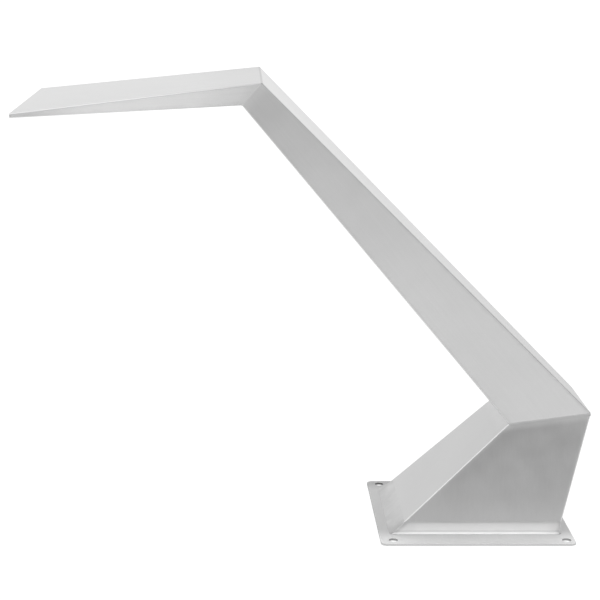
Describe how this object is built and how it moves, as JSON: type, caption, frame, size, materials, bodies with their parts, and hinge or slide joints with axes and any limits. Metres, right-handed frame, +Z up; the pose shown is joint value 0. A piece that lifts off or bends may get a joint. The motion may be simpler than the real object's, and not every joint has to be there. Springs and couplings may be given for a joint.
{
  "type": "pool waterfall spout",
  "caption": "Bent, tapered hollow stainless-steel spout on a square bolted flange; takes water from a floor inlet and pours it as a wide thin sheet.",
  "frame": {"origin": "centre of the four bolt holes on the underside of the base flange", "axes": "+Z up out of the floor, -X towards the outlet lip, +X towards the back of the knee, +Y across the body; the part is symmetric about Y = 0"},
  "size_m": [0.6394, 0.2914, 0.5179],
  "materials": {
    "sheet": "fine brushed along each panel",
    "flange": "fine brushed plate with deburred edges",
    "weld": "dressed weld, re-brushed along the seam",
    "pipe_fitting": "turned",
    "insert": "mill finish"
  },
  "bodies": {
    "root": {"trunk_front_panel": "sheet", "trunk_back_panel": "sheet", "trunk_left_panel": "sheet", "trunk_right_panel": "sheet", "arm_under_panel": "sheet", "arm_back_panel": "sheet", "arm_left_panel": "sheet", "arm_right_panel": "sheet", "spout_under_panel": "sheet", "spout_top_panel": "sheet", "spout_left_panel": "sheet", "spout_right_panel": "sheet", "base_flange": "flange", "trunk_corner_welds": "weld", "arm_corner_welds": "weld", "spout_corner_welds": "weld", "knee_weld": "weld", "elbow_weld": "weld", "base_weld": "weld", "socket_weld": "weld", "inlet_socket": "pipe_fitting", "flow_diffuser": "insert", "diffuser_ledges": "insert", "lip_spacers": "insert"}
  },
  "joints": []
}
